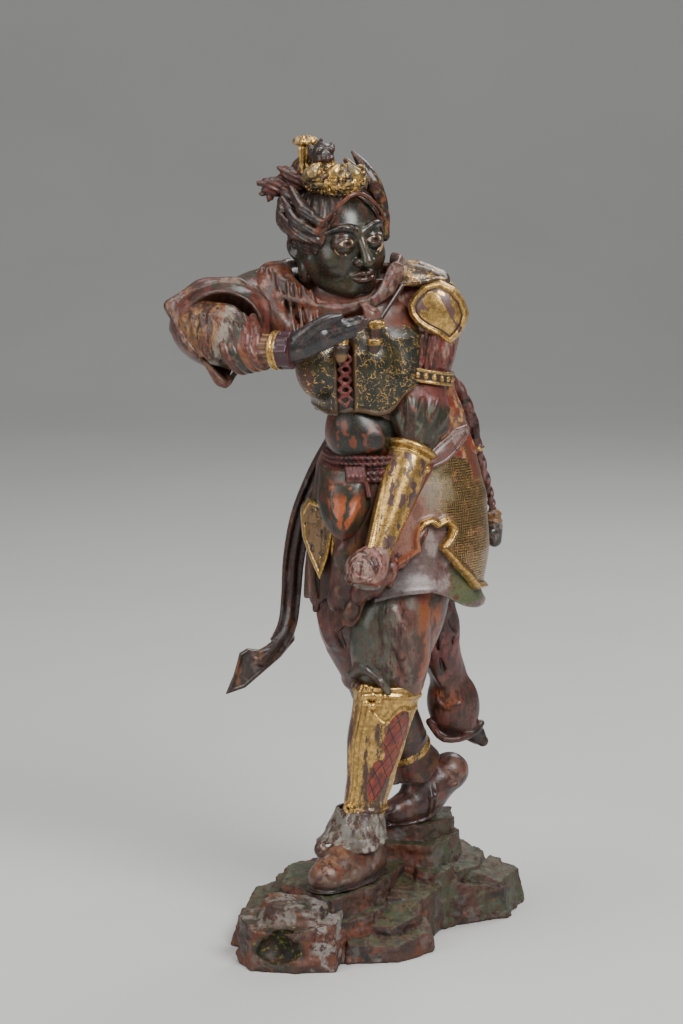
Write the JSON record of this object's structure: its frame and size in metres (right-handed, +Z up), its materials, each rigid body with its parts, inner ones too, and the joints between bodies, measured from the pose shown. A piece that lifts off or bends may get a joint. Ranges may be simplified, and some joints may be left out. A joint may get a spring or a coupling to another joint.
{
  "type": "carved guardian figure",
  "caption": "Carved and painted wooden guardian figure in armour, striding on a rock base with one arm raised across the chest, head and hands that lift off.",
  "frame": {"origin": "centre of the rock base at its flat underside", "axes": "+Z up, -Y the way the chest faces, +X the side of the figure's own left arm"},
  "size_m": [0.3535, 0.2711, 0.8111],
  "materials": {
    "rock_paint": "matte pigment over carved wood, worn",
    "hidden_wood": "bare planed wood",
    "iron": "forged iron, dull",
    "bronze_lacquer": "dark bronze-green lacquer, satin",
    "worn_gilding": "worn gold leaf over dark lacquer",
    "crystal": "polished rock crystal",
    "paper_pad": "white paper with ink iris",
    "hair_lacquer": "dark red lacquer with worn gold",
    "crest_lacquer": "dark brown lacquer",
    "cloth_pigment": "red, pink and grey pigment, flaked",
    "armour_green": "dark green pigment with gold scrolls",
    "gilt_pattern": "gold line pattern on dark lacquer, worn",
    "trouser_pigment": "green-grey pigment with pink and orange wear",
    "pelt_pigment": "orange and dark green flame pattern",
    "shoe_lacquer": "brown lacquer, worn"
  },
  "bodies": {
    "base": {"base_back_rock": "rock_paint", "base_dowels": "hidden_wood", "base_front_boulder": "rock_paint", "base_front_slab": "rock_paint", "base_left_rock": "rock_paint", "base_main_rock": "rock_paint", "base_rear_rock": "rock_paint", "base_right_rock": "rock_paint", "base_staples": "iron"},
    "figure": {"arm_dowels": "hidden_wood", "chest_knob": "cloth_pigment", "front_apron": "pelt_pigment", "front_foot_tenon": "hidden_wood", "front_gaiter": "cloth_pigment", "front_leg": "trouser_pigment", "front_shoe": "shoe_lacquer", "hip_armour_back": "gilt_pattern", "hip_armour_front": "gilt_pattern", "hip_armour_left": "gilt_pattern", "hip_armour_right": "gilt_pattern", "hip_block": "cloth_pigment", "hip_cord": "cloth_pigment", "hip_cord_cap": "crest_lacquer", "left_forearm": "worn_gilding", "left_shoulder_guard": "worn_gilding", "left_shoulder_lappet": "worn_gilding", "left_upper_arm": "cloth_pigment", "leg_dowels": "hidden_wood", "neck_scarf": "cloth_pigment", "rear_foot_tenon": "hidden_wood", "rear_gaiter": "cloth_pigment", "rear_leg": "trouser_pigment", "rear_shoe": "shoe_lacquer", "right_forearm": "cloth_pigment", "right_upper_arm": "cloth_pigment", "robe_hem_left": "cloth_pigment", "robe_hem_right": "cloth_pigment", "scarf_tail": "shoe_lacquer", "strap_ends": "worn_gilding", "streaming_drape": "cloth_pigment", "torso_back": "armour_green", "torso_dowels": "hidden_wood", "torso_front": "armour_green", "waist_cord": "cloth_pigment"},
    "head": {"face_block": "bronze_lacquer", "head_back_block": "bronze_lacquer", "crystal_eyes": "crystal", "eye_papers": "paper_pad", "eye_boards": "hidden_wood", "eye_board_pins": "hidden_wood", "crown_band": "worn_gilding", "topknot": "hair_lacquer", "crest_seat": "worn_gilding", "hair_tuft_left": "hair_lacquer", "hair_tuft_right": "hair_lacquer", "gilt_flower": "worn_gilding"},
    "crest": {"crest_animal_head": "crest_lacquer"},
    "right_hand": {"right_hand": "bronze_lacquer"},
    "left_hand": {"left_hand": "bronze_lacquer"}
  },
  "joints": [
    {"name": "figure_lift", "type": "slide", "parent": "base", "child": "figure", "axis": [0, 0, 1], "range_m": [0, 0.045]},
    {"name": "head_lift", "type": "slide", "parent": "figure", "child": "head", "axis": [-0.0896, -0.0398, 0.9952], "range_m": [0, 0.07]},
    {"name": "crest_lift", "type": "slide", "parent": "head", "child": "crest", "axis": [-0.0896, -0.0398, 0.9952], "range_m": [0, 0.02]},
    {"name": "right_hand_pull", "type": "slide", "parent": "figure", "child": "right_hand", "axis": [0.8784, -0.4758, -0.0457], "range_m": [0, 0.02]},
    {"name": "left_hand_pull", "type": "slide", "parent": "figure", "child": "left_hand", "axis": [-0.3735, -0.4421, -0.8155], "range_m": [0, 0.02]}
  ]
}
